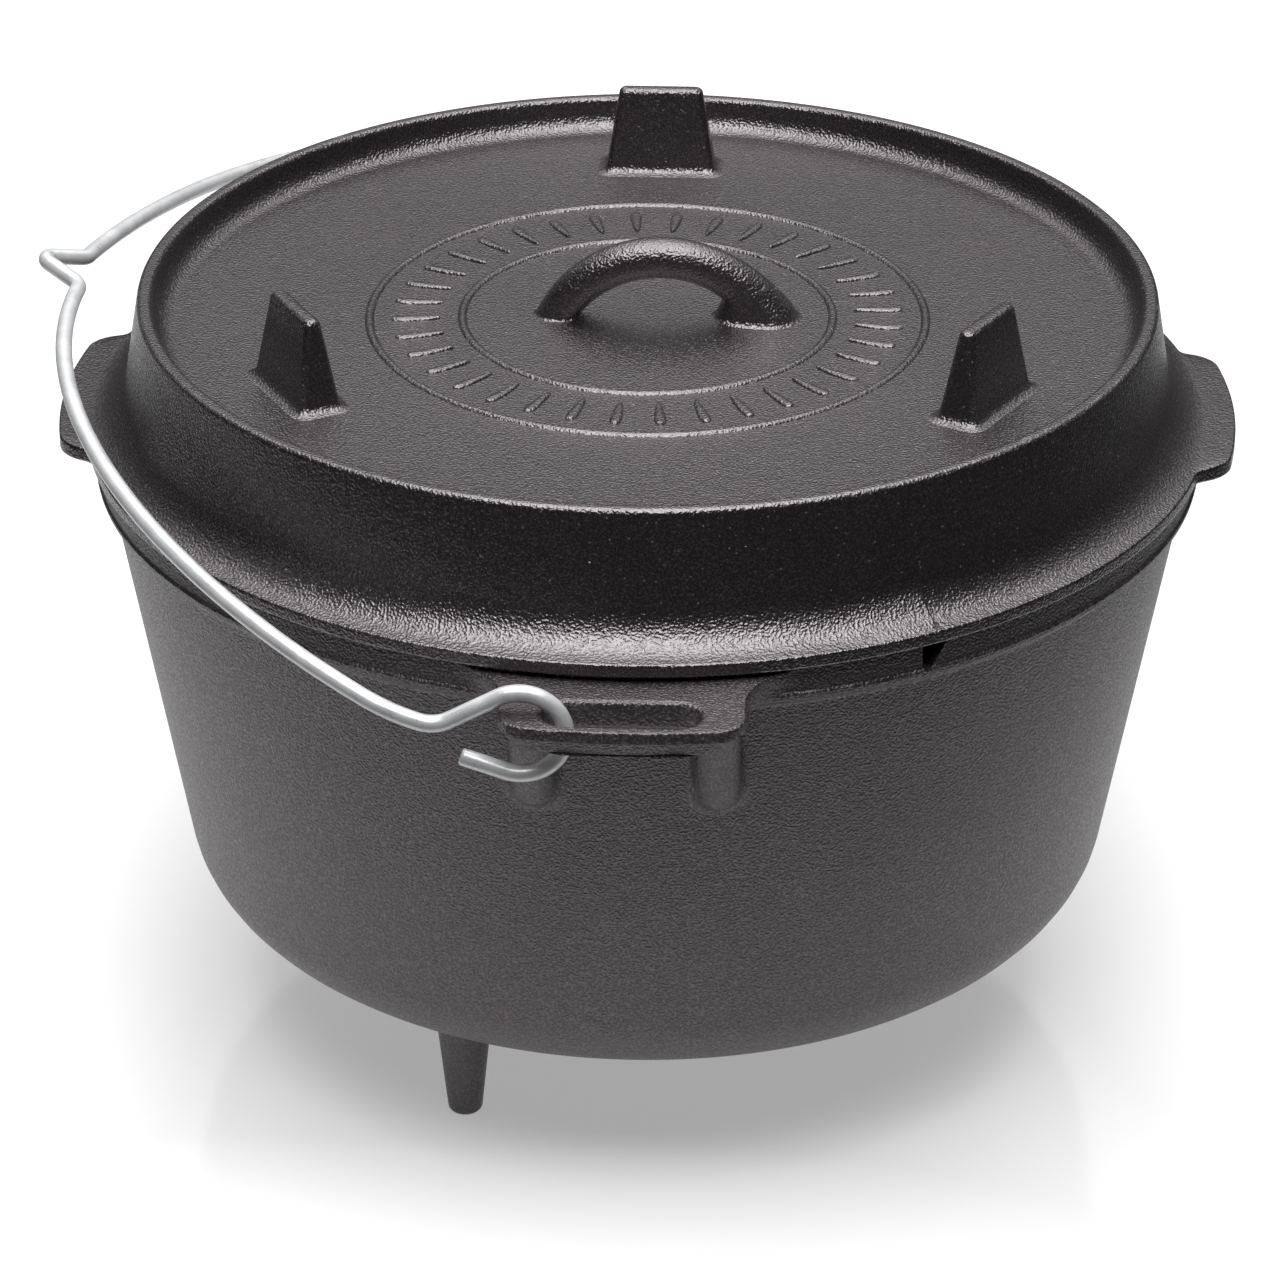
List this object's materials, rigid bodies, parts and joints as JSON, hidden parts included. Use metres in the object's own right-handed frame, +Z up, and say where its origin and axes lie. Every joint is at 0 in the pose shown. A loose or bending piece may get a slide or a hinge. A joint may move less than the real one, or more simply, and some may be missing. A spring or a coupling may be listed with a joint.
{
  "type": "camp dutch oven",
  "caption": "Three-legged cast-iron camp dutch oven with a flanged, footed lid that holds coals, eared rim and a swinging wire bail handle.",
  "frame": {"origin": "on the pot's axis, on the ground plane that the three legs stand on", "axes": "+Z up; the two ears lie on the Y axis, the lid's two tabs on the X axis, and the bail leans to -X at rest"},
  "size_m": [0.3395, 0.3684, 0.237],
  "materials": {
    "pot_iron": "seasoned, sand-cast grain, dull sheen",
    "lid_iron": "seasoned, sand-cast grain, dull sheen",
    "bail_wire": "zinc-plated wire, bright"
  },
  "bodies": {
    "pot": {"pot": "pot_iron"},
    "lid": {"lid": "lid_iron"},
    "bail": {"bail": "bail_wire"}
  },
  "joints": [
    {"name": "lid_lift", "type": "slide", "parent": "pot", "child": "lid", "axis": [0.309, 0, 0.9511], "range_m": [0, 0.168]},
    {"name": "bail_swing", "type": "hinge", "parent": "pot", "child": "bail", "pos_m": [-0.02585, 0, 0.1733], "axis": [0, 1, 0], "range_deg": [0, 130]}
  ]
}
